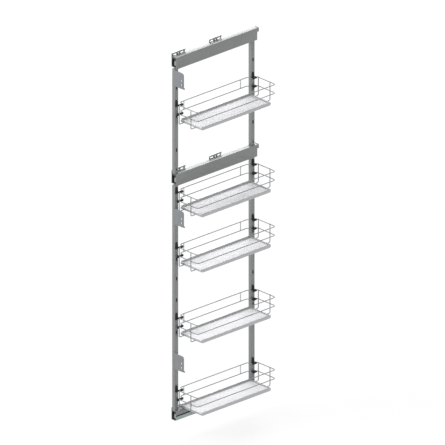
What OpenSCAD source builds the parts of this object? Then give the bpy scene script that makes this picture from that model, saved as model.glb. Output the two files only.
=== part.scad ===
// Pull-out larder unit, side mounted, for a narrow tall cabinet.
// X = 0 is the cabinet side that carries it, +X points across the cabinet.
// Y = 0 is the front (door) side and +Y points to the back; the unit pulls out along -Y.
// Z = 0 is the lowest edge of the bottom runner.

/* [Runners] */
// Length of the telescopic runners
runner_len = 490; // [440:5:540]
// Height of a runner profile
runner_h = 45; // [42:1:50]
// Width of a runner across its three members
runner_w = 28; // [27:0.5:32]
// Sheet thickness of the runner profiles
profile_t = 1.5; // [1.2:0.1:1.6]
// Radius of the runner balls
ball_r = 3; // [2.8:0.1:3.1]
// Balls in each row
balls_in_row = 10; // [6:1:12]
// Length of a ball cage
cage_len = 216; // [190:2:222]
// Sheet thickness of a ball cage
cage_t = 0.8; // [0.6:0.1:0.9]
// Length of the rubber end buffers
buffer_len = 14; // [8:1:18]

/* [Cabinet side] */
// Thickness of the mounting plates
plate_t = 2; // [1.5:0.1:2.4]
// Width of the front mounting plates
front_plate_w = 82; // [70:1:95]
// Width of the middle mounting plates
middle_plate_w = 73; // [66:1:85]
// Distance of the middle mounting plates from the front
middle_plate_y = 227; // [190:1:260]
// Height of the upper mounting plates above their rails
plate_rise = 16.5; // [15:0.5:20]
// Height of the bottom mounting plates above the bottom carriage bracket
bottom_plate_rise = 11; // [9:0.5:12]
// Width of the screw slots in the plates
plate_slot_w = 5; // [4:0.2:5.4]
// Length of the screw slots in the plates
plate_slot_len = 18; // [12:1:18]
// Distance between the two screw slots of a plate
plate_slot_pitch = 42; // [38:1:46]

/* [Rails] */
// Height of the top edge of the top rail
top_rail_top = 1742.5; // [1700:0.5:1780]
// Height of the top edge of the middle rail
middle_rail_top = 1183.5; // [1170:0.5:1200]
// Sheet thickness of the rail covers
rail_t = 2; // [1.5:0.1:2.2]
// Space between a runner and the flange over it
head_room = 3; // [2:0.5:4]
// Space between a runner and the flange under it
under_room = 5; // [1:0.5:8]
// Space between the bottom runner and the flange over it
foot_room = 0.5; // [0.4:0.1:1]
// Length of the tail behind a rail cover
tail_len = 10; // [6:1:12]
// Height of the tail below the rail's top edge
tail_h = 18; // [12:1:20]
// Height of the stop lip on the tail
tail_lip = 1.5; // [1:0.5:4]
// Height of the bottom carriage bracket's face
carriage_face_h = 20.5; // [18:0.5:22]
// Height of the black strip below that face
strip_h = 6; // [4:0.5:8]
// Thickness of the black strip
strip_t = 1.6; // [1:0.1:1.9]

/* [Uprights] */
// Width of an upright across the cabinet
upright_w = 18.5; // [17:0.5:20]
// Depth of an upright
upright_d = 21; // [19:0.5:22]
// Wall of an upright
upright_t = 1.5; // [1.2:0.1:2]
// Space between the uprights and the mounting plates
upright_gap = 0.5; // [0.4:0.1:1.5]
// Distance of the rear upright from the runners' rear end
rear_setback = 7; // [6:0.5:8]
// Width of the slots in the uprights
slot_w = 7; // [6:0.2:8]
// Length of the slots in the uprights
slot_len = 18; // [14:0.5:20]

/* [Door brackets] */
// Height of a door bracket
bracket_h = 76; // [70:1:80]
// Reach of a door bracket beside the upright
bracket_w = 57; // [52:1:62]
// Depth of the leg that lies on the upright
bracket_leg = 17; // [16:0.5:19]
// Sheet thickness of a door bracket
bracket_t = 2; // [1.5:0.1:2.5]
// Width of the door screw slots
door_slot_w = 5; // [4.2:0.2:6]
// Length of the door screw slots
door_slot_len = 10; // [8:0.5:12]
// Distance between the two door screw slots of a bracket
door_slot_pitch = 20; // [16:0.5:24]
// Distance of the top door bracket below the top rail
top_bracket_drop = 3.5; // [1:0.5:20]
// Distance of the middle door bracket below the middle rail
middle_bracket_drop = 107; // [90:0.5:120]
// Height of the bottom door bracket above the bottom carriage bracket
bottom_bracket_rise = 202; // [180:0.5:215]

/* [Baskets] */
// Height of the top basket above the middle rail
basket_1_rise = 236; // [225:0.5:250]
// Distance from the middle rail down to the underside of the second basket
basket_2_drop = 124; // [118:0.5:135]
// Height of the third basket above the bottom carriage bracket
basket_3_rise = 690; // [680:0.5:705]
// Height of the fourth basket above the bottom carriage bracket
basket_4_rise = 351; // [340:0.5:360]
// Space between the bottom rail flange and the lowest basket
basket_5_gap = 3; // [2.5:0.5:6]
// Width of a basket's wire rings
ring_w = 143; // [130:1:150]
// Height of the lower wire ring above the tray's underside
lower_ring_h = 48; // [40:0.5:55]
// Height of the upper wire ring above the tray's underside
upper_ring_h = 89.5; // [82:0.5:92]
// Diameter of the basket wires
wire_d = 4; // [3.6:0.1:4.4]
// Bend radius at the rings' outer corners
ring_bend = 11; // [8:0.5:16]
// Height of a tray's long rims
rim_h = 16.3; // [14:0.1:20]
// Thickness of a tray's rims
rim_t = 3; // [2:0.1:3.4]
// Thickness of the white tray floor
floor_t = 3.6; // [3:0.1:6]
// Corner radius of a tray
tray_corner = 4; // [3.5:0.5:8]
// Distance of the front straps from the rings' front corners
front_strap_inset = 26; // [20:1:60]
// Distance of the rear straps from the rings' rear corners
rear_strap_inset = 40; // [20:1:60]

/* [Clips] */
// Height of a clip's ear above the wire it holds
ear_h = 27; // [22:0.5:30]
// Width of a clip's ear
ear_w = 15.5; // [14.5:0.5:18]
// Thickness of a clip's ear
ear_t = 4.5; // [4:0.1:5]
// Wall of the clip's trough round the wire
trough_t = 2.2; // [1.6:0.1:2.4]
// Height of the trough's walls above the wire's middle
trough_rise = 3.5; // [2.5:0.5:4]

/* [Hidden] */
$fn = 40;

POWDER_GREY = [0.50, 0.51, 0.51];
BRACKET_GREY = [0.58, 0.59, 0.60];
ZINC = [0.66, 0.70, 0.70];
WIRE_GREY = [0.72, 0.73, 0.74];
RIM_GREY = [0.63, 0.64, 0.65];
WHITE = [0.93, 0.93, 0.94];
BLACK = [0.13, 0.14, 0.15];

touch = 0.1;      // clearance between pieces that bear on each other
cut = 1;          // how far a cutter runs past what it cuts

// Runner section, seen along the runner: cabinet profile, centre member, moving profile
runner_x0 = plate_t;
runner_x1 = runner_x0 + runner_w;
groove_r = ball_r + touch;                // inner radius of a ball groove
groove_c = groove_r + profile_t / 2;      // its centreline radius
cage_gap = 0.7;                           // between a profile's web and the cage's web
ball_x = profile_t + cage_gap + cage_t + groove_r + 2.5;
ball_z = groove_c + profile_t / 2;        // lower ball row above the runner's underside
tab_reach = ball_x + groove_r + 0.9;      // how far a cage's tabs reach from the profile's outer face
web_half = 1;                             // half the centre member's web
buffer_depth = 7;                         // how far a buffer reaches towards the other one
buffer_gap = 0.4;                         // from the buffers to what lies behind or between them
centre_front = buffer_len + buffer_gap;   // the centre member starts behind the buffers
front_tab_w = 9;                          // tab at a moving profile's front end
cage_y = (runner_len - cage_len) / 2 + 1;

// Levels
rail_h = 2 * rail_t + head_room + runner_h + under_room;
top_runner_z = top_rail_top - rail_t - head_room - runner_h;
middle_runner_z = middle_rail_top - rail_t - head_room - runner_h;
bottom_runner_z = 0;
runner_levels = [top_runner_z, middle_runner_z, bottom_runner_z];
carriage_top = runner_h + foot_room + rail_t;
rail_tops = [top_rail_top, middle_rail_top, carriage_top];
plate_rises = [plate_rise, plate_rise, bottom_plate_rise];
basket_levels = [middle_rail_top + basket_1_rise, middle_rail_top - rail_h - basket_2_drop,
                 carriage_top + basket_3_rise, carriage_top + basket_4_rise,
                 carriage_top + basket_5_gap];

// Cabinet plates
hem_h = 8;
hem_gap = 3.5;                            // between the plates' hem and the rails' flanges
plate_slot_rise = 1;                      // lower edge of the plates' slots above the rail
flange_x0 = 2 * plate_t + hem_gap;
plate_hole_r = plate_slot_w / 2;
rivet_r = 2;
rivet_inset = 12;
rivet_head_t = 0.4;
front_plate_y = 0;

// Rails and uprights
rail_x1 = runner_x1 + rail_t;
rail_bend = rail_t;
upright_x0 = 2 * plate_t + upright_gap;
upright_x1 = upright_x0 + upright_w;
upright_corner = 1.6;
rear_upright_y = runner_len - rear_setback - upright_d;
upright_ys = [0, rear_upright_y];
upper_z0 = middle_rail_top;
upper_z1 = top_rail_top - rail_h;
lower_z0 = carriage_top;
lower_z1 = middle_rail_top - rail_h;
upper_slots = [13.5, 112, 273, 411];      // spare slots above the middle rail
lower_slots = [374, 528, 631, 725];       // spare slots above the bottom carriage bracket
insert_len = 14;
flange_screw_r = 3;
flange_head_r = 5;
flange_screw_len = 12;
strip_gap = 0.5;                          // between the carriage bracket's face and the strip

// Door brackets
bracket_fold = 9;                         // width of the strip outside the fold
bracket_fold_back = 2;                    // how far the fold brings the outer edge back
bracket_corner = 12;
bracket_toe = 5;                          // reach of the toe at the outer edge's foot
bracket_toe_h = 9;
door_slot_inset = 14;                     // from a bracket's outer edge to its slots
door_slot_z = 19;
bracket_screw_r = 2;
bracket_screw_head_r = 4;
bracket_screw_head_t = 1.6;
bracket_screw_y = upright_d / 2;
bracket_screw_zs = [14, bracket_h - 16];
door_bracket_levels = [upper_z1 - top_bracket_drop - bracket_h,
                       lower_z1 - middle_bracket_drop - bracket_h, lower_z0 + bottom_bracket_rise];

// Clips and wire rings
wire_r = wire_d / 2;
clip_gap = 0.5;                           // between the ear and the lifted wire
jog_x = upright_x1 + ear_t + clip_gap + wire_r;
ring_x0 = 5;
ring_x1 = ring_x0 + ring_w;
end_y0 = upright_d - 1.5;                 // front end of the rings
end_y1 = runner_len + 1;                  // rear end of the rings
jog_y0 = upright_d + 26;                  // where the rings step in behind the front upright
jog_y1 = rear_upright_y - 6;              // where they step in ahead of the rear upright
outer_jog_bend = wire_d;
inner_jog_bend = wire_d + 1;
back_bend = 8;
weld = 0.6;                               // how deep crossing wires sink into each other
post_y0 = end_y0 - wire_d + weld;
post_y1 = end_y1 + wire_d - weld;
post_xs = [jog_x + outer_jog_bend, jog_x + outer_jog_bend + 75];
post_bend = 6;
under_z = wire_r - 0.7;                   // centre of the wires under the tray
strap_w = 6;
strap_t = 2;
saddle_r = wire_r + 0.2;
saddle_end = 1;                           // between a saddle's end and the ring's bends
clip_web_x = upright_x1 + ear_t - 2.1;
ear_inset = 0.5;                          // from the upright's edges to a clip's plates
ear_shoulder = 9;                         // top of the ear's full width above the wire
ear_tip_r = 5;
ear_corner = 2;
hook_w = 5;
hook_h = 12;
foot_drop = 9;                            // lower clip's foot below its wire
foot_rise = 2;
foot_corner = 1;
stud_r = 2;
stud_drop = 5;                            // lower clip's stud below its wire
stud_y = upright_d - upright_corner - stud_r - touch;

// Trays
tray_x0 = ring_x0 + 12;
tray_x1 = ring_x1 + wire_r + 2.5;
tray_y0 = jog_y0 - 8.5;
tray_y1 = rear_upright_y - 1;
end_rim_z0 = under_z + wire_r + touch;
end_rim_h = 10;
ledge_w = 3;
ledge_t = 2;
floor_gap = 0.1;
least_corner = 0.4;

// ---------- drawing aids ----------
function unit(v) = v / norm(v);
function left_of(v) = [-v.y, v.x];
function side_at(p, i) = left_of(unit(p[i + 1] - p[i]));
function mitre(p, i) =
  i == 0 ? side_at(p, 0) :
  i == len(p) - 1 ? side_at(p, i - 1) :
  let (n = side_at(p, i - 1) + side_at(p, i)) 2 * n / (n * n);
function beside(p, d) = [for (i = [0:len(p) - 1]) p[i] + d * mitre(p, i)];
function backwards(p) = [for (i = [len(p) - 1:-1:0]) p[i]];
function arc(c, r, a0, a1, n = 8) =
  [for (i = [0:n]) c + r * [cos(a0 + (a1 - a0) * i / n), sin(a0 + (a1 - a0) * i / n)]];
function mirrored(p, x) = [for (q = p) [2 * x - q.x, q.y]];
function flipped(p, z) = [for (q = p) [q.x, 2 * z - q.y]];

// Rectangle with round corners, as one outline
function round_box(x0, y0, x1, y1, r, n = 5) = concat(
  arc([x1 - r, y1 - r], r, 0, 90, n), arc([x0 + r, y1 - r], r, 90, 180, n),
  arc([x0 + r, y0 + r], r, 180, 270, n), arc([x1 - r, y0 + r], r, 270, 360, n));

// One bent corner of a sheet: the arc that joins a-b to b-c
function bent(a, b, c, r, n = 4) =
  let (u = unit(a - b), v = unit(c - b), half = acos(u * v) / 2,
       o = b + unit(u + v) * r / sin(half),
       p = b + u * r / tan(half) - o, q = b + v * r / tan(half) - o,
       a0 = atan2(p.y, p.x), turn = (atan2(q.y, q.x) - a0 + 540) % 360 - 180)
  arc(o, r, a0, a0 + turn, n);

// Sheet metal section: a centreline with the thickness laid to both sides
module sheet(p, t) {
  polygon(concat(beside(p, t / 2), backwards(beside(p, -t / 2))));
}

// Lays a section drawn in X-Z along +Y, from y0 to y1
module along_y(y0, y1) {
  translate([0, y1, 0]) rotate([90, 0, 0]) linear_extrude(y1 - y0) children();
}

// Lays a section drawn in Y-Z along +X, from x0 to x1
module along_x(x0, x1) {
  translate([x0, 0, 0]) rotate([90, 0, 90]) linear_extrude(x1 - x0) children();
}

module rod_x(r, x0, x1) {
  translate([x0, 0, 0]) rotate([0, 90, 0]) cylinder(r = r, h = x1 - x0);
}

module rod_y(r, y0, y1) {
  translate([0, y1, 0]) rotate([90, 0, 0]) cylinder(r = r, h = y1 - y0);
}

// Slot drawn about the origin, its length along the second axis
module slot(w, l) {
  for (s = [-1, 1]) translate([0, s * (l - w) / 2]) circle(d = w);
  square([w, l - w], center = true);
}

// Straight stretch of wire between two points on one axis
module straight(a, b) {
  v = b - a;
  translate(a) rotate([0, acos(v.z / norm(v)), atan2(v.y, v.x)]) cylinder(d = wire_d, h = norm(v));
}

// Bent wire: corner i of path p has the bend radius r[i]; a closed path joins its ends
function leg(p, r, i) = r[i] * unit(p[(i + 1) % len(p)] - p[i]);
function back_leg(p, r, i) = r[i] * unit(p[(i + len(p) - 1) % len(p)] - p[i]);
module wire(p, r, closed = false) {
  n = len(p);
  for (i = [0:n - (closed ? 1 : 2)])
    straight(p[i] + (r[i] > 0 ? leg(p, r, i) : [0, 0, 0]),
             p[(i + 1) % n] + (r[(i + 1) % n] > 0 ? back_leg(p, r, (i + 1) % n) : [0, 0, 0]));
  for (i = [0:n - 1]) if (r[i] > 0) {
    u = -unit(back_leg(p, r, i));
    x = -unit(leg(p, r, i));
    z = cross(x, u);
    o = p[i] + leg(p, r, i) + back_leg(p, r, i);
    multmatrix([[x.x, u.x, z.x, o.x], [x.y, u.y, z.y, o.y], [x.z, u.z, z.z, o.z], [0, 0, 0, 1]])
      rotate_extrude(angle = 90) translate([r[i], 0]) circle(d = wire_d);
  }
}

// ---------- telescopic runner ----------
// Outer profile from the middle of its web over the upper ball groove to the lip
function half_profile() =
  let (c = [ball_x, runner_h - ball_z], web = profile_t / 2, shelf = c.y + groove_c / 2)
  concat([[web, runner_h / 2]], bent([web, 0], [web, shelf], [ball_x, shelf], 1.2),
         arc(c, groove_c, 150, 30, 10));
function profile_path() =
  concat(backwards(half_profile()),
         [for (i = [1:len(half_profile()) - 1]) flipped(half_profile(), runner_h / 2)[i]]);

module profile_section(side) {
  path = [for (q = profile_path()) q + [runner_x0, 0]];
  sheet(side > 0 ? mirrored(path, (runner_x0 + runner_x1) / 2) : path, profile_t);
}

module cabinet_profile(z) {
  color(ZINC) translate([0, 0, z]) difference() {
    along_y(0, runner_len) profile_section(-1);
    for (y = rivet_ys) for (s = [-1, 1])
      translate([0, y, runner_h / 2 + s * rivet_spread]) rod_x(rivet_r + touch / 2, 0, runner_x0 + 3);
  }
}

module moving_profile(z) {
  color(ZINC) translate([0, 0, z]) along_y(0, runner_len) profile_section(1);
}

// Stop tabs on the moving profiles' front ends, between the buffers
module runner_front_tabs() {
  tab_z = ball_z + buffer_depth + buffer_gap;
  color(ZINC) for (z = runner_levels)
    translate([runner_x1 - profile_t - front_tab_w, 0, z + tab_z])
      cube([front_tab_w, profile_t, runner_h - 2 * tab_z]);
}

// Centre member: a groove under or over each ball row, the four joined by one web
function member_outline() =
  let (mid = (runner_x0 + runner_x1) / 2, c = [runner_x0 + ball_x, runner_h - ball_z],
       path = concat(arc(c, groove_c, 225, 330, 9), [[mid - web_half, c.y - groove_c / 2]]),
       quarter = concat(backwards(beside(path, profile_t / 2)), beside(path, -profile_t / 2)),
       half = concat(quarter, flipped(backwards(quarter), runner_h / 2)))
  concat(half, mirrored(backwards(half), mid));

module centre_member(z) {
  color(ZINC) translate([0, 0, z]) along_y(centre_front, runner_len) polygon(member_outline());
}

// C-shaped cage strip with a row of balls in each tab
module ball_cage(z, side) {
  mid = (runner_x0 + runner_x1) / 2;
  web = profile_t + cage_gap + cage_t / 2;
  rows = [ball_z, runner_h - ball_z];
  pitch = cage_len / balls_in_row;
  corner = [web, rows[1]];
  half = concat([[web, runner_h / 2]], bent([web, 0], corner, corner + [10, 0], 1),
                [[tab_reach, rows[1]]]);
  path = concat(backwards(half), [for (i = [1:len(half) - 1]) flipped(half, runner_h / 2)[i]]);
  placed = [for (q = path) q + [runner_x0, 0]];
  x = runner_x0 + ball_x;
  ball_place = side > 0 ? 2 * mid - x : x;
  color(ZINC) translate([0, cage_y, z]) {
    difference() {
      along_y(0, cage_len) sheet(side > 0 ? mirrored(placed, mid) : placed, cage_t);
      for (i = [0:balls_in_row - 1]) for (r = rows)
        translate([ball_place, pitch * (i + 0.5), r - cage_t])
          cylinder(r = ball_r + touch / 2, h = 2 * cage_t);
    }
    for (i = [0:balls_in_row - 1]) for (r = rows)
      translate([ball_place, pitch * (i + 0.5), r]) sphere(ball_r);
  }
}

// Two plastic stops that plug the moving profile's grooves at the front
module end_buffers(z) {
  x = runner_x1 - ball_x;
  plug_r = ball_r;
  color(BLACK) translate([0, 0, z]) for (s = [-1, 1]) {
    c = runner_h / 2 + s * (runner_h / 2 - ball_z);
    along_y(0, buffer_len) {
      translate([x, c]) circle(plug_r);
      translate([x - plug_r, s > 0 ? c - buffer_depth : c]) square([2 * plug_r, buffer_depth]);
    }
  }
}

// ---------- cabinet side ----------
rivet_spread = 9;
rivet_ys = [front_plate_y + rivet_inset, front_plate_y + front_plate_w - rivet_inset,
            middle_plate_y + rivet_inset, middle_plate_y + middle_plate_w - rivet_inset];

// One mounting plate: two long slots and a round hole, and a hem along its top where it has one
module cabinet_plate(y, w, z0, z1, slot_z, hemmed) {
  difference() {
    translate([0, y, z0]) union() {
      cube([plate_t, w, z1 - z0]);
      if (hemmed) translate([0, 0, z1 - z0 - hem_h]) cube([2 * plate_t, w, hem_h]);
    }
    translate([0, y + w / 2, slot_z]) {
      for (s = [-1, 1]) translate([-cut, s * plate_slot_pitch / 2, 0])
        rotate([90, 0, 90]) linear_extrude(plate_t + 2 * cut)
          rotate(90) slot(plate_slot_w, plate_slot_len);
      rod_x(plate_hole_r, -cut, plate_t + cut);
    }
    for (ry = [y + rivet_inset, y + w - rivet_inset]) for (s = [-1, 1])
      translate([0, ry, z0 + runner_h / 2 + s * rivet_spread])
        rod_x(rivet_r + touch / 2, -cut, plate_t + cut);
  }
}

module cabinet_plates(i) {
  slot_z = rail_tops[i] + plate_slot_rise + plate_slot_w / 2;
  color(ZINC) for (p = [[front_plate_y, front_plate_w], [middle_plate_y, middle_plate_w]])
    cabinet_plate(p.x, p.y, runner_levels[i], rail_tops[i] + plate_rises[i], slot_z, i < 2);
}

module plate_rivets() {
  color(ZINC) for (z = runner_levels) for (y = rivet_ys) for (s = [-1, 1])
    translate([0, y, z + runner_h / 2 + s * rivet_spread]) {
      rod_x(rivet_r, 0, plate_t + profile_t + touch / 2);
      rod_x(1.7 * rivet_r, plate_t + profile_t, plate_t + profile_t + rivet_head_t);
    }
}

// ---------- rails and uprights ----------
module flange_hole(x, y, z, dir) {
  translate([x, y, z]) {
    translate([0, 0, -rail_t - cut]) cylinder(r = flange_screw_r + touch, h = 2 * rail_t + 2 * cut);
    if (dir > 0) cylinder(r1 = flange_screw_r + touch, r2 = flange_head_r + touch, h = rail_t);
    if (dir < 0) translate([0, 0, -rail_t])
      cylinder(r1 = flange_head_r + touch, r2 = flange_screw_r + touch, h = rail_t);
  }
}

upright_cx = (upright_x0 + upright_x1) / 2;

// Cover of a telescopic rail: top flange, face and bottom flange, with a tail at the back
module rail_cover(top, screws_on_top) {
  x0 = flange_x0;
  x1 = rail_x1 - rail_t / 2;
  z0 = top - rail_h + rail_t / 2;
  z1 = top - rail_t / 2;
  upper = concat([[x0, z1]], bent([x0, z1], [x1, z1], [x1, z0], rail_bend));
  lower = concat(bent([x1, z1], [x1, z0], [x0, z0], rail_bend), [[x0, z0]]);
  color(POWDER_GREY) difference() {
    union() {
      along_y(0, runner_len) sheet(concat(upper, lower), rail_t);
      along_y(runner_len, runner_len + tail_len)
        sheet(concat(upper, [[x1, top - tail_h]]), rail_t);
      translate([x0, runner_len + tail_len - rail_t, top - rail_t])
        cube([rail_x1 - rail_bend - x0, rail_t, tail_lip + rail_t]);
    }
    for (y = upright_ys) {
      flange_hole(upright_cx, y + upright_d / 2, top - rail_h, 1);
      if (screws_on_top) flange_hole(upright_cx, y + upright_d / 2, top, -1);
    }
  }
}

module bottom_carriage_bracket() {
  x1 = rail_x1 - rail_t / 2;
  z1 = carriage_top - rail_t / 2;
  color(POWDER_GREY) difference() {
    along_y(0, runner_len)
      sheet(concat([[flange_x0, z1]], bent([flange_x0, z1], [x1, z1], [x1, 0], rail_bend),
                   [[x1, carriage_top - carriage_face_h]]), rail_t);
    for (y = upright_ys) flange_hole(upright_cx, y + upright_d / 2, carriage_top, -1);
  }
}

// Black strip on the bottom runner, under the carriage bracket's face
module bottom_guide_strip() {
  color(BLACK) translate([runner_x1, 0, carriage_top - carriage_face_h - strip_gap - strip_h])
    cube([strip_t, runner_len, strip_h]);
}

// Tube with openings in its +X wall: spare slots at the given heights, a slot behind each
// upper clip, a stud hole behind each lower clip and the door brackets' screw holes
module upright(y, z0, z1, spare) {
  own = [for (b = basket_levels) if (b > z0 && b < z1) b];
  slots = concat([for (s = spare) z0 + s], [for (b = own) ear_slot_z(b)]);
  wall_x = upright_x1 - upright_t;
  r = upright_corner;
  color(POWDER_GREY) difference() {
    translate([0, 0, z0]) linear_extrude(z1 - z0) difference() {
      polygon(round_box(upright_x0, y, upright_x1, y + upright_d, r));
      polygon(round_box(upright_x0 + upright_t, y + upright_t, upright_x1 - upright_t,
                        y + upright_d - upright_t, r - upright_t / 2));
    }
    for (z = slots) translate([wall_x - cut, y + upright_d / 2, z])
      rotate([90, 0, 90]) linear_extrude(upright_t + 2 * cut) slot(slot_w, slot_len);
    for (b = own) translate([0, y + stud_y, stud_z(b)])
      rod_x(stud_r + touch / 2, wall_x - cut, upright_x1 + cut);
    if (y == 0) for (b = door_bracket_levels) for (s = bracket_screw_zs)
      if (b > z0 && b < z1) translate([0, bracket_screw_y, b + s])
        rod_x(bracket_screw_r + touch / 2, wall_x - cut, upright_x1 + cut);
  }
}

// Tapped steel blocks that close the tubes and take the flange screws
module upright_inserts() {
  gap = upright_t + touch;
  ends = [[upper_z1 - insert_len, 1], [upper_z0, 0], [lower_z1 - insert_len, 1], [lower_z0, 0]];
  color(ZINC) for (y = upright_ys) for (e = ends) difference() {
    translate([0, 0, e[0]]) linear_extrude(insert_len)
      polygon(round_box(upright_x0 + gap, y + gap, upright_x1 - gap, y + upright_d - gap,
                        upright_corner));
    translate([upright_cx, y + upright_d / 2, e[0] - cut])
      cylinder(r = flange_screw_r + touch / 2, h = insert_len + 2 * cut);
  }
}

module flange_screw(x, y, z, dir) {
  translate([x, y, z]) rotate([dir > 0 ? 0 : 180, 0, 0]) {
    cylinder(r1 = flange_screw_r, r2 = flange_head_r, h = rail_t);
    translate([0, 0, -flange_screw_len]) cylinder(r = flange_screw_r, h = flange_screw_len);
  }
}

module flange_screws() {
  color(ZINC) for (y = upright_ys) {
    yc = y + upright_d / 2;
    flange_screw(upright_cx, yc, upper_z1, 1);
    flange_screw(upright_cx, yc, upper_z0, -1);
    flange_screw(upright_cx, yc, lower_z1, 1);
    flange_screw(upright_cx, yc, lower_z0, -1);
  }
}

// ---------- door brackets ----------
// Angle on the front upright: a leg on its side and a plate in front, whose outer edge is
// folded back and ends in a small toe
module door_bracket(z) {
  x0 = upright_x1;
  x1 = x0 + bracket_w;
  x2 = x1 + bracket_toe;
  fold = x1 - bracket_fold;
  leg_x = x0 + bracket_t / 2;
  y = -bracket_t / 2;
  r = bracket_corner;
  path = concat([[leg_x, bracket_leg]],
                bent([leg_x, bracket_leg], [leg_x, y], [fold, y], bracket_t),
                [[fold, y], [x2 + cut, y + bracket_fold_back * (x2 + cut - fold) / bracket_fold]]);
  outline = concat([[x0 - cut, 0], [x2, 0], [x2, bracket_toe_h / 2], [x1, bracket_toe_h]],
                   arc([x1 - r, bracket_h - r], r, 0, 90, 6), [[x0 - cut, bracket_h]]);
  color(BRACKET_GREY) translate([0, 0, z]) difference() {
    intersection() {
      translate([0, 0, -cut]) linear_extrude(bracket_h + 2 * cut) sheet(path, bracket_t);
      along_y(-bracket_t - cut, bracket_leg + cut) polygon(outline);
    }
    for (s = [0, 1])
      translate([x1 - door_slot_inset, bracket_fold_back, door_slot_z + door_slot_pitch * s])
        rotate([90, 0, 0]) linear_extrude(bracket_t + bracket_fold_back + cut)
          slot(door_slot_w, door_slot_len);
    for (s = bracket_screw_zs) translate([0, bracket_screw_y, s])
      rod_x(bracket_screw_r + touch / 2, x0 - cut, x0 + bracket_t + cut);
  }
}

module door_bracket_screws() {
  head_x = upright_x1 + bracket_t;
  color(ZINC) for (b = door_bracket_levels) for (s = bracket_screw_zs)
    translate([0, bracket_screw_y, b + s]) {
      rod_x(bracket_screw_r, upright_x1 - upright_t, head_x);
      rod_x(bracket_screw_head_r, head_x, head_x + bracket_screw_head_t);
    }
}

// ---------- clips ----------
function ear_slot_z(b) = b + upper_ring_h + ear_h / 2;
function stud_z(b) = b + lower_ring_h - stud_drop;

// Open trough that the ring's jog wire lies in, drawn about the wire's axis
module saddle_section() {
  difference() {
    translate([clip_web_x - jog_x, -saddle_r - trough_t])
      square([jog_x - clip_web_x + saddle_r + trough_t, saddle_r + trough_t + trough_rise]);
    circle(saddle_r);
    translate([-saddle_r, 0]) square([2 * saddle_r, trough_rise + cut]);
  }
}

// Outline of an ear about the wire's height: square foot, round tip
function ear_outline(y0, y1) =
  let (low = -saddle_r - trough_t, yc = (y0 + y1) / 2, tip = ear_h - ear_tip_r,
       run = [(y1 - y0) / 2, ear_shoulder - tip],
       a = atan2(run.y, run.x) + acos(ear_tip_r / norm(run)))
  concat(arc([y0 + ear_corner, low + ear_corner], ear_corner, 180, 270, 4),
         arc([y1 - ear_corner, low + ear_corner], ear_corner, 270, 360, 4),
         [[y1, ear_shoulder]], arc([yc, tip], ear_tip_r, a, 180 - a, 8), [[y0, ear_shoulder]]);

// Hook that reaches through the upright's slot and drops behind its wall
module hook(y, z) {
  translate([upright_x1 - upright_t - 1.6, y - hook_w / 2, z - hook_h / 2])
    cube([1.2, hook_w, hook_h]);
  translate([upright_x1 - upright_t - 1.6, y - hook_w / 2, z - hook_h / 2 + 3])
    cube([upright_t + 1.6 + 0.5, hook_w, hook_h - 3]);
}

// Trough along the wire from y0 to y1, joined by a web to a plate on the upright
module trough(plate_y, y0, y1) {
  low = saddle_r + trough_t;
  translate([clip_web_x, plate_y, -low])
    cube([upright_x1 + ear_t - clip_web_x, y1 - plate_y, low + trough_rise]);
  translate([jog_x, 0, 0]) along_y(y0, y1) saddle_section();
}

// Upper clip with its ear and hook, and lower clip with a short foot and a stud
module clip_pair(y, y0, y1) {
  translate([0, 0, upper_ring_h]) {
    along_x(upright_x1, upright_x1 + ear_t)
      polygon(ear_outline(y + ear_inset, y + ear_inset + ear_w));
    trough(y + ear_w / 2, y0, y1);
    hook(y + upright_d / 2, ear_h / 2);
  }
  foot_y = y + stud_y - stud_r - 0.3;
  translate([0, 0, lower_ring_h]) {
    along_x(upright_x1, upright_x1 + ear_t)
      polygon(round_box(foot_y, -foot_drop, y + upright_d - ear_inset, foot_rise, foot_corner));
    trough(foot_y + foot_corner, y0, y1);
    translate([0, y + stud_y, -stud_drop]) rod_x(stud_r, upright_x1 - upright_t, upright_x1 + 0.5);
  }
}

module basket_clips(i) {
  color(BLACK) translate([0, 0, basket_levels[i]]) {
    clip_pair(0, end_y0 + outer_jog_bend + saddle_end, jog_y0 - inner_jog_bend - saddle_end);
    clip_pair(rear_upright_y, jog_y1 + inner_jog_bend + saddle_end,
              end_y1 - outer_jog_bend - saddle_end);
  }
}

// ---------- baskets ----------
ring_path = [[ring_x0, jog_y0], [jog_x, jog_y0], [jog_x, end_y0], [ring_x1, end_y0],
             [ring_x1, end_y1], [jog_x, end_y1], [jog_x, jog_y1], [ring_x0, jog_y1]];
ring_radii = [back_bend, inner_jog_bend, outer_jog_bend, ring_bend,
              ring_bend, outer_jog_bend, inner_jog_bend, back_bend];

module basket_wires(i) {
  color(WIRE_GREY) translate([0, 0, basket_levels[i]]) {
    for (h = [lower_ring_h, upper_ring_h])
      wire([for (q = ring_path) [q.x, q.y, h]], ring_radii, closed = true);
    for (x = post_xs)
      wire([[x, post_y0, upper_ring_h + 1], [x, post_y0, under_z],
            [x, post_y1, under_z], [x, post_y1, upper_ring_h + 1]], [0, post_bend, post_bend, 0]);
    for (y = [jog_y0 + front_strap_inset, jog_y1 - rear_strap_inset])
      translate([ring_x0 - wire_r - strap_t + weld, y - strap_w / 2, lower_ring_h - 1])
        cube([strap_t, strap_w, upper_ring_h - lower_ring_h + 2]);
  }
}

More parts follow.
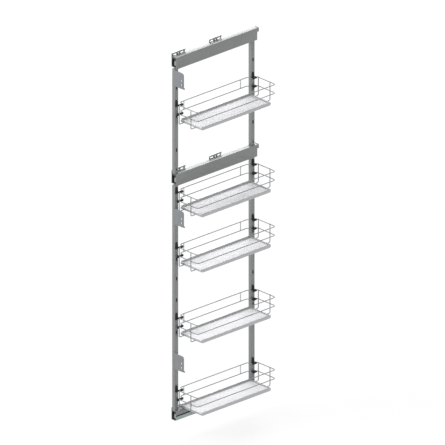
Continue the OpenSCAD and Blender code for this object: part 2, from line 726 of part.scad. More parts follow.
// Tray frame: tall long sides with a ledge, lower ends, round corners
module basket_rim(i) {
  r = tray_corner;
  taper = rim_h - end_rim_z0 - end_rim_h;
  end_cut = [[-cut, end_rim_z0 + end_rim_h], [r - 1, end_rim_z0 + end_rim_h],
             [r - 1 + 2 * taper, rim_h + cut], [-cut, rim_h + cut]];
  under_cut = [[-cut, -cut], [r + 5, -cut], [r - 1, end_rim_z0], [-cut, end_rim_z0]];
  color(RIM_GREY) translate([0, 0, basket_levels[i]]) {
    difference() {
      linear_extrude(rim_h) difference() {
        polygon(round_box(tray_x0, tray_y0, tray_x1, tray_y1, r));
        polygon(round_box(tray_x0 + rim_t, tray_y0 + rim_t, tray_x1 - rim_t, tray_y1 - rim_t,
                          max(r - rim_t, least_corner)));
      }
      for (p = [end_cut, under_cut]) {
        along_x(tray_x0 - cut, tray_x1 + cut) polygon([for (q = p) [tray_y0 + q.x, q.y]]);
        along_x(tray_x0 - cut, tray_x1 + cut) polygon([for (q = p) [tray_y1 - q.x, q.y]]);
      }
    }
    for (x = [tray_x0 + rim_t - 0.5, tray_x1 - rim_t - ledge_w + 0.5])
      translate([x, tray_y0 + r + 8, end_rim_z0 - touch - ledge_t])
        cube([ledge_w, tray_y1 - tray_y0 - 2 * (r + 8), ledge_t]);
  }
}

module basket_floor(i) {
  g = rim_t + floor_gap;
  color(WHITE) translate([0, 0, basket_levels[i] + end_rim_z0]) linear_extrude(floor_t)
    polygon(round_box(tray_x0 + g, tray_y0 + g, tray_x1 - g, tray_y1 - g,
                      max(tray_corner - g, least_corner)));
}

cabinet_plates(0);  // top_cabinet_plates
cabinet_plates(1);  // middle_cabinet_plates
cabinet_plates(2);  // bottom_cabinet_plates
plate_rivets();
cabinet_profile(top_runner_z);  // top_cabinet_profile
cabinet_profile(middle_runner_z);  // middle_cabinet_profile
cabinet_profile(bottom_runner_z);  // bottom_cabinet_profile
centre_member(top_runner_z);  // top_centre_member
centre_member(middle_runner_z);  // middle_centre_member
centre_member(bottom_runner_z);  // bottom_centre_member
ball_cage(top_runner_z, -1);  // top_cabinet_ball_cage
ball_cage(middle_runner_z, -1);  // middle_cabinet_ball_cage
ball_cage(bottom_runner_z, -1);  // bottom_cabinet_ball_cage
ball_cage(top_runner_z, 1);  // top_moving_ball_cage
ball_cage(middle_runner_z, 1);  // middle_moving_ball_cage
ball_cage(bottom_runner_z, 1);  // bottom_moving_ball_cage
moving_profile(top_runner_z);  // top_moving_profile
moving_profile(middle_runner_z);  // middle_moving_profile
moving_profile(bottom_runner_z);  // bottom_moving_profile
end_buffers(top_runner_z);  // top_end_buffers
end_buffers(middle_runner_z);  // middle_end_buffers
end_buffers(bottom_runner_z);  // bottom_end_buffers
runner_front_tabs();
rail_cover(top_rail_top, false);  // top_rail_cover
rail_cover(middle_rail_top, true);  // middle_rail_cover
bottom_carriage_bracket();
bottom_guide_strip();
upright(0, upper_z0, upper_z1, upper_slots);  // front_upright_upper
upright(0, lower_z0, lower_z1, lower_slots);  // front_upright_lower
upright(rear_upright_y, upper_z0, upper_z1, upper_slots);  // rear_upright_upper
upright(rear_upright_y, lower_z0, lower_z1, lower_slots);  // rear_upright_lower
upright_inserts();
flange_screws();
door_bracket(door_bracket_levels[0]);  // door_bracket_top
door_bracket(door_bracket_levels[1]);  // door_bracket_middle
door_bracket(door_bracket_levels[2]);  // door_bracket_bottom
door_bracket_screws();
basket_clips(0);  // basket_clips_1
basket_clips(1);  // basket_clips_2
basket_clips(2);  // basket_clips_3
basket_clips(3);  // basket_clips_4
basket_clips(4);  // basket_clips_5
basket_wires(0);  // basket_wires_1
basket_wires(1);  // basket_wires_2
basket_wires(2);  // basket_wires_3
basket_wires(3);  // basket_wires_4
basket_wires(4);  // basket_wires_5
basket_rim(0);  // basket_rim_1
basket_rim(1);  // basket_rim_2
basket_rim(2);  // basket_rim_3
basket_rim(3);  // basket_rim_4
basket_rim(4);  // basket_rim_5
basket_floor(0);  // basket_floor_1
basket_floor(1);  // basket_floor_2
basket_floor(2);  // basket_floor_3
basket_floor(3);  // basket_floor_4
basket_floor(4);  // basket_floor_5
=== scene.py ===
import math

import bmesh
import bpy
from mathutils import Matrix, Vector


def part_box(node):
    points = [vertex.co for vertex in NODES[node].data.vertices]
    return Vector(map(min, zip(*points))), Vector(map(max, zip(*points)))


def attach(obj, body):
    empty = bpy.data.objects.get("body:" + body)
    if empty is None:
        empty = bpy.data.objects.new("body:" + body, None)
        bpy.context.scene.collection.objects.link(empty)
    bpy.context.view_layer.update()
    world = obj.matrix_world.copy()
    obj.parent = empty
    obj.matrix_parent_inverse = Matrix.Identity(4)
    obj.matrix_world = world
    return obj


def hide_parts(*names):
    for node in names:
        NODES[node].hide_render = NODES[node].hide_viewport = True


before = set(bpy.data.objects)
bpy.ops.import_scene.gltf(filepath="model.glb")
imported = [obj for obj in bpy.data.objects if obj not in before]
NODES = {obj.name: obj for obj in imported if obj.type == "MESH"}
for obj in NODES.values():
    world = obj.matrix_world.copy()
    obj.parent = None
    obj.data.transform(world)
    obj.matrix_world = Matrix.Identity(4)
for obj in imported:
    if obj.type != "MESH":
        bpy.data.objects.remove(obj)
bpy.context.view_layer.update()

bl_info = {
    "name": "Pull-out larder finish",
    "version": (1, 0, 0),
    "blender": (4, 5, 0),
    "location": "3D View > Sidebar > Larder",
    "description": "Dresses the pull-out larder: coated steel frame, wire baskets, clips and runners",
    "category": "Object",
}

MM = 0.001
LEVELS = ("top", "middle", "bottom")
BASKETS = (1, 2, 3, 4, 5)

# Rounding of a copied CAD mesh
MERGE_DISTANCE = 2e-6  # metres; the CAD triangles share no corners
FLAT_ANGLE = math.radians(0.4)  # flatter edges only divide one face and come out
SHARP_ANGLE = math.radians(40)  # sharper edges are rounded
CREASE_DEGREES = 34  # sharper edges keep a crisp shading

# The photograph's parallel view, solved from its edges
CAMERA_AZIMUTH, CAMERA_ELEVATION = math.radians(46.8), math.radians(23.2)
CAMERA_AIM = (0.0, 0.3096, 0.8533)
CAMERA_WIDTH = 1.962
CAMERA_DISTANCE = 6
CAMERA_REACH = 60

# name, place, target, side in metres, watts
LAMPS = (("key", (-1.6, -3.4, 3.6), (0.08, 0.2, 0.9), 2.2, 140.0),
         ("fill", (3.8, -0.6, 2.2), (0.08, 0.3, 0.9), 2.6, 40.0),
         ("sheen", (-3.5, 3.5, 4.5), (0.08, 0.25, 0.9), 4.2, 240.0))
WORLD_STRENGTH = 0.58  # of the light that the world gives, not of what the camera sees
FLOOR_HALF_SIDE, FLOOR_Z = 14, -0.09
FLOOR_GLOW = 0.85  # share of plain white in the floor that the camera sees; the rest takes the shadow

# Door bracket screws, as the CAD sets them
SCREW_HEAD_HEIGHT = 1.6 * MM
SCREW_HEIGHTS = (14 * MM, 60 * MM)  # above the bracket's foot

# Basket wires, as the CAD sets them: centre lines
WELD_SINK = 0.6 * MM  # crossing wires are sunk this far into each other
RING_X = (5 * MM, 30 * MM, 148 * MM)  # between the uprights, at the step, at the outer side
RING_Y = (19.5 * MM, 491 * MM)
RING_STEP_Y = (47 * MM, 456 * MM)  # where the ring steps in behind the uprights
RING_BENDS = tuple(radius * MM for radius in (8, 5, 4, 11, 11, 4, 5, 8))
RING_HEIGHTS = (48 * MM, 89.5 * MM)  # above the tray's underside
SUPPORT_X = (34 * MM, 109 * MM)
SUPPORT_BEND, SUPPORT_FOOT, SUPPORT_PAST_RING = 6 * MM, 1.3 * MM, 1 * MM
STRAP_X, STRAP_HALF_WIDTH, STRAP_PAST_RING = (1.6 * MM, 3.6 * MM), 3 * MM, 1 * MM
STRAP_FROM_STEP = (26 * MM, -40 * MM)
STRAP_EDGE = 0.5 * MM


# ---------------------------------------------------------------- colours and shader trees

def linear(hex_colour):
    """A linear RGBA colour from an sRGB hex value such as 8f9394."""
    parts = [int(hex_colour[i:i + 2], 16) / 255 for i in (0, 2, 4)]
    return tuple(c / 12.92 if c <= 0.04045 else ((c + 0.055) / 1.055) ** 2.4 for c in parts) + (1.0,)


def shade(colour, factor):
    """The same colour made darker or lighter by a factor."""
    return tuple(min(1.0, c * factor) for c in colour[:3]) + (1.0,)


def put(tree, kind, settings=None, inputs=None):
    """Adds one node, sets its settings and fills its inputs with values or links."""
    node = tree.nodes.new(kind)
    for name, value in (settings or {}).items():
        setattr(node, name, value)
    for name, value in (inputs or {}).items():
        if isinstance(value, bpy.types.NodeSocket):
            tree.links.new(value, node.inputs[name])
        else:
            node.inputs[name].default_value = value
    return node


def new_material(name):
    """An empty material with its output node and the piece's own object coordinates."""
    material = bpy.data.materials.new(name)
    material.use_nodes = True
    tree = material.node_tree
    tree.nodes.clear()
    output = put(tree, "ShaderNodeOutputMaterial")
    place = put(tree, "ShaderNodeTexCoord").outputs["Object"]
    return material, tree, output, place


def powder_coat(name, colour):
    """Silver-grey powder coat on steel: satin, part metal flake, with a fine orange peel.

    The peel of a real coat is about 1 mm across; it is drawn at 2 mm so that it shows.
    """
    material, tree, output, place = new_material(name)
    cloud = put(tree, "ShaderNodeTexNoise", inputs={"Vector": place, "Scale": 9.0, "Detail": 3.0})
    tone = put(tree, "ShaderNodeMix", {"data_type": "RGBA"},
               {"Factor": cloud.outputs["Fac"], "A": shade(colour, 0.93), "B": shade(colour, 1.07)})
    peel = put(tree, "ShaderNodeTexNoise", inputs={"Vector": place, "Scale": 500.0, "Detail": 2.0})
    rough = put(tree, "ShaderNodeMapRange",
                inputs={"Value": peel.outputs["Fac"], "To Min": 0.36, "To Max": 0.52})
    bump = put(tree, "ShaderNodeBump",
               inputs={"Strength": 0.10, "Distance": 0.0004, "Height": peel.outputs["Fac"]})
    coat = put(tree, "ShaderNodeBsdfPrincipled",
               inputs={"Base Color": tone.outputs["Result"], "Roughness": rough.outputs["Result"],
                       "Metallic": 0.35, "Coat Weight": 0.3, "Coat Roughness": 0.25,
                       "Normal": bump.outputs["Normal"]})
    tree.links.new(coat.outputs["BSDF"], output.inputs["Surface"])
    return material


def zinc_plate(name, colour):
    """Zinc-plated rolled steel: a cool bluish metal with rolling lines along the runner.

    The lines of cold-rolled strip are finer than 0.1 mm; they are drawn about 0.8 mm apart.
    """
    material, tree, output, place = new_material(name)
    stretched = put(tree, "ShaderNodeMapping", inputs={"Vector": place, "Scale": (1.0, 0.02, 1.0)})
    lines = put(tree, "ShaderNodeTexNoise",
                inputs={"Vector": stretched.outputs["Vector"], "Scale": 1250.0, "Detail": 2.0})
    patches = put(tree, "ShaderNodeTexNoise", inputs={"Vector": place, "Scale": 45.0, "Detail": 4.0})
    tint = put(tree, "ShaderNodeMix", {"data_type": "RGBA"},
               {"Factor": patches.outputs["Fac"], "A": shade(colour, 0.86), "B": shade(colour, 1.12)})
    rough = put(tree, "ShaderNodeMapRange",
                inputs={"Value": lines.outputs["Fac"], "To Min": 0.26, "To Max": 0.46})
    bump = put(tree, "ShaderNodeBump",
               inputs={"Strength": 0.12, "Distance": 0.0002, "Height": lines.outputs["Fac"]})
    metal = put(tree, "ShaderNodeBsdfPrincipled",
                inputs={"Base Color": tint.outputs["Result"], "Roughness": rough.outputs["Result"],
                        "Metallic": 1.0, "Normal": bump.outputs["Normal"]})
    tree.links.new(metal.outputs["BSDF"], output.inputs["Surface"])
    return material


def bearing_steel(name, colour):
    """Ground and polished bearing steel: a bright, nearly mirror metal with faint tool haze."""
    material, tree, output, place = new_material(name)
    haze = put(tree, "ShaderNodeTexNoise", inputs={"Vector": place, "Scale": 300.0, "Detail": 3.0})
    tint = put(tree, "ShaderNodeMix", {"data_type": "RGBA"},
               {"Factor": haze.outputs["Fac"], "A": shade(colour, 0.92), "B": shade(colour, 1.06)})
    rough = put(tree, "ShaderNodeMapRange",
                inputs={"Value": haze.outputs["Fac"], "To Min": 0.14, "To Max": 0.26})
    metal = put(tree, "ShaderNodeBsdfPrincipled",
                inputs={"Base Color": tint.outputs["Result"], "Roughness": rough.outputs["Result"],
                        "Metallic": 1.0})
    tree.links.new(metal.outputs["BSDF"], output.inputs["Surface"])
    return material


def silver_lacquer(name, colour):
    """Silver lacquer on drawn wire and steel strip: aluminium flakes under a clear satin coat.

    The flakes are about 0.05 mm; they are drawn at 0.6 mm so that they give a faint sparkle.
    """
    material, tree, output, place = new_material(name)
    flakes = put(tree, "ShaderNodeTexVoronoi", inputs={"Vector": place, "Scale": 1600.0})
    drift = put(tree, "ShaderNodeTexNoise", inputs={"Vector": place, "Scale": 14.0, "Detail": 2.0})
    mixed = put(tree, "ShaderNodeMath", {"operation": "MULTIPLY_ADD"},
                {0: flakes.outputs["Distance"], 1: 0.4, 2: drift.outputs["Fac"]})
    tone = put(tree, "ShaderNodeMix", {"data_type": "RGBA"},
               {"Factor": mixed.outputs["Value"], "A": shade(colour, 0.94), "B": shade(colour, 1.05)})
    rough = put(tree, "ShaderNodeMapRange",
                inputs={"Value": flakes.outputs["Distance"], "From Max": 0.8, "To Min": 0.30, "To Max": 0.44})
    bump = put(tree, "ShaderNodeBump",
               inputs={"Strength": 0.06, "Distance": 0.0002, "Height": flakes.outputs["Distance"]})
    coat = put(tree, "ShaderNodeBsdfPrincipled",
               inputs={"Base Color": tone.outputs["Result"], "Roughness": rough.outputs["Result"],
                       "Metallic": 0.25, "Coat Weight": 0.1, "Coat Roughness": 0.3,
                       "Normal": bump.outputs["Normal"]})
    tree.links.new(coat.outputs["BSDF"], output.inputs["Surface"])
    return material


def melamine(name, colour):
    """White melamine on board: a hard, cool white with a pressed grain that dulls its gloss.

    A pressed grain of about 1 mm is drawn at its real size.
    """
    material, tree, output, place = new_material(name)
    grain = put(tree, "ShaderNodeTexNoise", inputs={"Vector": place, "Scale": 900.0, "Detail": 3.0})
    wash = put(tree, "ShaderNodeTexNoise", inputs={"Vector": place, "Scale": 7.0, "Detail": 2.0})
    tone = put(tree, "ShaderNodeMix", {"data_type": "RGBA"},
               {"Factor": wash.outputs["Fac"], "A": shade(colour, 0.97), "B": shade(colour, 1.03)})
    rough = put(tree, "ShaderNodeMapRange",
                inputs={"Value": grain.outputs["Fac"], "To Min": 0.62, "To Max": 0.78})
    bump = put(tree, "ShaderNodeBump",
               inputs={"Strength": 0.08, "Distance": 0.0002, "Height": grain.outputs["Fac"]})
    board = put(tree, "ShaderNodeBsdfPrincipled",
                inputs={"Base Color": tone.outputs["Result"], "Roughness": rough.outputs["Result"],
                        "Specular IOR Level": 0.2, "Normal": bump.outputs["Normal"]})
    tree.links.new(board.outputs["BSDF"], output.inputs["Surface"])
    return material


def moulded_acetal(name, colour):
    """Black acetal, injection moulded: deep black with a spark-eroded grain that dulls it.

    The grain is about 0.1 mm; it is drawn at 0.7 mm so that edges catch a broken highlight.
    """
    material, tree, output, place = new_material(name)
    grain = put(tree, "ShaderNodeTexVoronoi", inputs={"Vector": place, "Scale": 1400.0})
    bloom = put(tree, "ShaderNodeTexNoise", inputs={"Vector": place, "Scale": 60.0, "Detail": 3.0})
    tone = put(tree, "ShaderNodeMix", {"data_type": "RGBA"},
               {"Factor": bloom.outputs["Fac"], "A": shade(colour, 0.75), "B": shade(colour, 1.35)})
    rough = put(tree, "ShaderNodeMapRange",
                inputs={"Value": bloom.outputs["Fac"], "To Min": 0.55, "To Max": 0.70})
    bump = put(tree, "ShaderNodeBump",
               inputs={"Strength": 0.15, "Distance": 0.0002, "Height": grain.outputs["Distance"]})
    plastic = put(tree, "ShaderNodeBsdfPrincipled",
                  inputs={"Base Color": tone.outputs["Result"], "Roughness": rough.outputs["Result"],
                          "Specular IOR Level": 0.3, "Normal": bump.outputs["Normal"]})
    tree.links.new(plastic.outputs["BSDF"], output.inputs["Surface"])
    return material


FINISHES = {}


def finish(name):
    """The material of one of the unit's finishes, made once from the colours in the panel."""
    if name not in FINISHES:
        paint = bpy.context.scene.larder_colours
        makers = {
            "frame_coat": (powder_coat, "powder_coat_grey", paint.frame_grey),
            "bracket_coat": (powder_coat, "powder_coat_light_grey", paint.bracket_grey),
            "zinc": (zinc_plate, "zinc_plated_rolled_steel", paint.zinc),
            # Painted light: the plates' zinc is the runners' zinc made lighter, so that the plates stand out
            # of the shade around them
            "plate_zinc_painted_light": (zinc_plate, "bright_zinc_plate", paint.plate_zinc_painted_light),
            "bearing": (bearing_steel, "ground_bearing_steel", paint.bearing),
            "wire": (silver_lacquer, "silver_lacquered_wire", paint.wire_silver),
            # Painted light: the straps carry the wires' lacquer; their lighter colour stands in for light on
            # their shaded side
            "strap": (silver_lacquer, "bright_silver_strap", paint.strap_lacquer_painted_lighter),
            "rim": (silver_lacquer, "silver_lacquered_strip", paint.rim_silver),
            "board": (melamine, "white_melamine_board", paint.board_white),
            "acetal": (moulded_acetal, "black_moulded_acetal", paint.clip_black),
        }
        maker, title, colour = makers[name]
        FINISHES[name] = maker(title, tuple(colour) + (1.0,))
    return FINISHES[name]


# ---------------------------------------------------------------- mesh helpers

def make_object(name, mesh, body, material, replaced=()):
    """Links a finished mesh as a piece of the unit: its body, material, slot and CAD nodes."""
    if mesh is None or not mesh.polygons:
        raise RuntimeError(f"{name} has no faces")
    piece = bpy.data.objects.new(name, mesh)
    bpy.context.scene.collection.objects.link(piece)
    mesh.materials.clear()
    mesh.materials.append(material)
    for face in mesh.polygons:
        face.material_index = 0
    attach(piece, body)
    if replaced:
        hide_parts(*replaced)
    return piece


def smooth_by_angle(bm, degrees):
    """Smooth faces, with edges sharper than the angle left crisp."""
    for face in bm.faces:
        face.smooth = True
    for edge in bm.edges:
        edge.smooth = len(edge.link_faces) == 2 and edge.calc_face_angle(0.0) < math.radians(degrees)


def rounded_copy(node, name, edge, body, material, segments=2):
    """A copy of a CAD node with its sharp edges rounded, which stands for the node."""
    bm = bmesh.new()
    bm.from_mesh(NODES[node].data)
    bmesh.ops.remove_doubles(bm, verts=bm.verts, dist=MERGE_DISTANCE)
    bmesh.ops.dissolve_limit(bm, angle_limit=FLAT_ANGLE, verts=bm.verts, edges=bm.edges)
    sharp = [e for e in bm.edges if len(e.link_faces) == 2 and e.calc_face_angle(0.0) > SHARP_ANGLE]
    bmesh.ops.bevel(bm, geom=sharp, offset=edge, offset_type="OFFSET", segments=segments,
                    profile=0.5, affect="EDGES", clamp_overlap=True)
    smooth_by_angle(bm, CREASE_DEGREES)
    mesh = bpy.data.meshes.new(name)
    bm.to_mesh(mesh)
    bm.free()
    return make_object(name, mesh, body, material, [node])


def dress(node, material):
    """Gives a CAD node that stays in view its material."""
    for place in NODES[node].material_slots:
        place.material = material


def bend_corners(corners, radii, count=6):
    """Replaces each square corner of a path by an arc of its bend radius, or keeps it at radius 0."""
    points, total = [], len(corners)
    for i, corner in enumerate(corners):
        if radii[i] <= 0:
            points.append(corner.copy())
            continue
        before = (corners[(i - 1) % total] - corner).normalized()
        after = (corners[(i + 1) % total] - corner).normalized()
        centre = corner + (before + after) * radii[i]
        for k in range(count + 1):
            turn = math.radians(90 * k / count)
            points.append(centre - after * radii[i] * math.cos(turn) - before * radii[i] * math.sin(turn))
    return points


# ---------------------------------------------------------------- geometry node trees

def swept_wire_tree(material):
    """A tree that sweeps a round wire along every edge chain and drops weld beads on marked points."""
    tree = bpy.data.node_groups.new("Swept wire", "GeometryNodeTree")
    face = tree.interface
    face.new_socket("Geometry", in_out="INPUT", socket_type="NodeSocketGeometry")
    face.new_socket("Wire diameter", in_out="INPUT", socket_type="NodeSocketFloat")
    face.new_socket("Sides", in_out="INPUT", socket_type="NodeSocketInt")
    face.new_socket("Bead size", in_out="INPUT", socket_type="NodeSocketFloat")
    face.new_socket("Seed", in_out="INPUT", socket_type="NodeSocketInt")
    face.new_socket("Geometry", in_out="OUTPUT", socket_type="NodeSocketGeometry")
    entry = put(tree, "NodeGroupInput")
    radius = put(tree, "ShaderNodeMath", {"operation": "MULTIPLY"},
                 {0: entry.outputs["Wire diameter"], 1: 0.5})
    path = put(tree, "GeometryNodeMeshToCurve", inputs={"Mesh": entry.outputs["Geometry"]})
    ring = put(tree, "GeometryNodeCurvePrimitiveCircle",
               inputs={"Resolution": entry.outputs["Sides"], "Radius": radius.outputs["Value"]})
    sweep = put(tree, "GeometryNodeCurveToMesh",
                inputs={"Curve": path.outputs["Curve"], "Profile Curve": ring.outputs["Curve"],
                        "Fill Caps": True})
    marked = put(tree, "GeometryNodeInputNamedAttribute", {"data_type": "BOOLEAN"}, {"Name": "weld"})
    points = put(tree, "GeometryNodeMeshToPoints",
                 inputs={"Mesh": entry.outputs["Geometry"], "Selection": marked.outputs["Attribute"]})
    bead = put(tree, "GeometryNodeMeshIcoSphere",
               inputs={"Radius": entry.outputs["Bead size"], "Subdivisions": 3})
    spread = put(tree, "FunctionNodeRandomValue", {"data_type": "FLOAT_VECTOR"},
                 {"Min": (0.85, 0.8, 0.9), "Max": (1.05, 1.0, 1.2), "Seed": entry.outputs["Seed"]})
    beads = put(tree, "GeometryNodeInstanceOnPoints",
                inputs={"Points": points.outputs["Points"], "Instance": bead.outputs["Mesh"],
                        "Scale": spread.outputs["Value"]})
    joined = put(tree, "GeometryNodeJoinGeometry")
    tree.links.new(beads.outputs["Instances"], joined.inputs["Geometry"])
    tree.links.new(sweep.outputs["Mesh"], joined.inputs["Geometry"])
    real = put(tree, "GeometryNodeRealizeInstances", inputs={"Geometry": joined.outputs["Geometry"]})
    smooth = put(tree, "GeometryNodeSetShadeSmooth", inputs={"Geometry": real.outputs["Geometry"]})
    coated = put(tree, "GeometryNodeSetMaterial",
                 inputs={"Geometry": smooth.outputs["Geometry"], "Material": material})
    put(tree, "NodeGroupOutput", inputs={"Geometry": coated.outputs["Geometry"]})
    return tree


def placed_parts_tree(part, material):
    """A tree that sets one copy of a part on every point, turned to the given angles."""
    tree = bpy.data.node_groups.new("Placed parts", "GeometryNodeTree")
    face = tree.interface
    face.new_socket("Geometry", in_out="INPUT", socket_type="NodeSocketGeometry")
    face.new_socket("Turn", in_out="INPUT", socket_type="NodeSocketVector")
    face.new_socket("Spread", in_out="INPUT", socket_type="NodeSocketFloat")
    face.new_socket("Seed", in_out="INPUT", socket_type="NodeSocketInt")
    face.new_socket("Geometry", in_out="OUTPUT", socket_type="NodeSocketGeometry")
    entry = put(tree, "NodeGroupInput")
    source = put(tree, "GeometryNodeObjectInfo", inputs={"Object": part, "As Instance": True})
    points = put(tree, "GeometryNodeMeshToPoints", inputs={"Mesh": entry.outputs["Geometry"]})
    spin = put(tree, "FunctionNodeRandomValue", {"data_type": "FLOAT"},
               {"Max": entry.outputs["Spread"], "Seed": entry.outputs["Seed"]})
    twist = put(tree, "ShaderNodeCombineXYZ", inputs={"Z": spin.outputs[1]})
    first = put(tree, "FunctionNodeEulerToRotation", inputs={"Euler": entry.outputs["Turn"]})
    second = put(tree, "FunctionNodeEulerToRotation", inputs={"Euler": twist.outputs["Vector"]})
    turned = put(tree, "FunctionNodeRotateRotation", {"rotation_space": "LOCAL"},
                 {"Rotation": first.outputs["Rotation"], "Rotate By": second.outputs["Rotation"]})
    placed = put(tree, "GeometryNodeInstanceOnPoints",
                 inputs={"Points": points.outputs["Points"], "Instance": source.outputs["Geometry"],
                         "Rotation": turned.outputs["Rotation"]})
    real = put(tree, "GeometryNodeRealizeInstances", inputs={"Geometry": placed.outputs["Instances"]})
    coated = put(tree, "GeometryNodeSetMaterial",
                 inputs={"Geometry": real.outputs["Geometry"], "Material": material})
    put(tree, "NodeGroupOutput", inputs={"Geometry": coated.outputs["Geometry"]})
    return tree


def grown(mesh, tree, values, name):
    """The plain mesh that a geometry tree makes from a seed mesh, with its inputs set by identifier."""
    seed = bpy.data.objects.new("seed", mesh)
    bpy.context.scene.collection.objects.link(seed)
    modifier = seed.modifiers.new("grow", "NODES")
    modifier.node_group = tree
    for item in tree.interface.items_tree:
        if item.item_type == "SOCKET" and item.in_out == "INPUT" and item.name in values:
            modifier[item.identifier] = values[item.name]
    view = bpy.context.evaluated_depsgraph_get()
    result = bpy.data.meshes.new_from_object(seed.evaluated_get(view))
    seed.modifiers.clear()
    bpy.data.objects.remove(seed)
    if not result.polygons:
        raise RuntimeError(f"{name}: the geometry tree made nothing")
    result.name = name
    return result


# ---------------------------------------------------------------- settings shown in the panel

class LarderSizes(bpy.types.PropertyGroup):
    wire: bpy.props.FloatProperty(name="Wire diameter", description="Diameter of the basket wires",
                                  default=4 * MM, min=2 * MM, max=6 * MM, unit="LENGTH")
    sheet_edge: bpy.props.FloatProperty(name="Sheet edge", description="Rounding of cut sheet edges",
                                        default=0.35 * MM, min=0.1 * MM, max=0.8 * MM, unit="LENGTH")
    tray_edge: bpy.props.FloatProperty(name="Tray edge", description="Rounding of the trays' rims",
                                       default=0.7 * MM, min=0.2 * MM, max=1.4 * MM, unit="LENGTH")
    clip_edge: bpy.props.FloatProperty(name="Clip edge", description="Rounding of the moulded clips",
                                       default=0.6 * MM, min=0.1 * MM, max=1 * MM, unit="LENGTH")
    bead: bpy.props.FloatProperty(name="Weld bead", description="Size of a spot weld between two wires",
                                  default=1.9 * MM, min=1 * MM, max=3 * MM, unit="LENGTH")
    head: bpy.props.FloatProperty(name="Screw head", description="Diameter of the door bracket screws",
                                  default=8 * MM, min=6 * MM, max=10 * MM, unit="LENGTH")


class LarderColours(bpy.types.PropertyGroup):
    frame_grey: bpy.props.FloatVectorProperty(name="Frame coat", description="Rails and uprights",
                                              subtype="COLOR", min=0, max=1, default=linear("7c7f7e")[:3])
    bracket_grey: bpy.props.FloatVectorProperty(name="Bracket coat", description="Door brackets",
                                                subtype="COLOR", min=0, max=1, default=linear("7c7f82")[:3])
    # Painted light: the runners' zinc made lighter for the plates, against the shade that falls on them
    plate_zinc_painted_light: bpy.props.FloatVectorProperty(name="Plate zinc",
                                              description="Mounting plates and their rivets",
                                              subtype="COLOR", min=0, max=1, default=linear("c6cdcc")[:3])
    zinc: bpy.props.FloatVectorProperty(name="Zinc", description="Runners and screws",
                                        subtype="COLOR", min=0, max=1, default=linear("98a3a3")[:3])
    bearing: bpy.props.FloatVectorProperty(name="Bearing steel", description="Balls and their cages",
                                           subtype="COLOR", min=0, max=1, default=linear("b4b6b7")[:3])
    wire_silver: bpy.props.FloatVectorProperty(name="Wire lacquer", description="Basket wires",
                                               subtype="COLOR", min=0, max=1, default=linear("7b7d7f")[:3])
    # Painted light: the same lacquer as the wires, made lighter so that the straps' shaded side looks lit
    strap_lacquer_painted_lighter: bpy.props.FloatVectorProperty(name="Strap lacquer",
                                                description="Straps between the wire rings",
                                                subtype="COLOR", min=0, max=1, default=linear("c9cbcb")[:3])
    rim_silver: bpy.props.FloatVectorProperty(name="Rim lacquer", description="Tray rims",
                                              subtype="COLOR", min=0, max=1, default=linear("aeaeb0")[:3])
    board_white: bpy.props.FloatVectorProperty(name="Board", description="Tray floors",
                                               subtype="COLOR", min=0, max=1, default=linear("e6e6e8")[:3])
    clip_black: bpy.props.FloatVectorProperty(name="Clips", description="Clips and end buffers",
                                              subtype="COLOR", min=0, max=1, default=linear("131416")[:3])


# ---------------------------------------------------------------- the stage

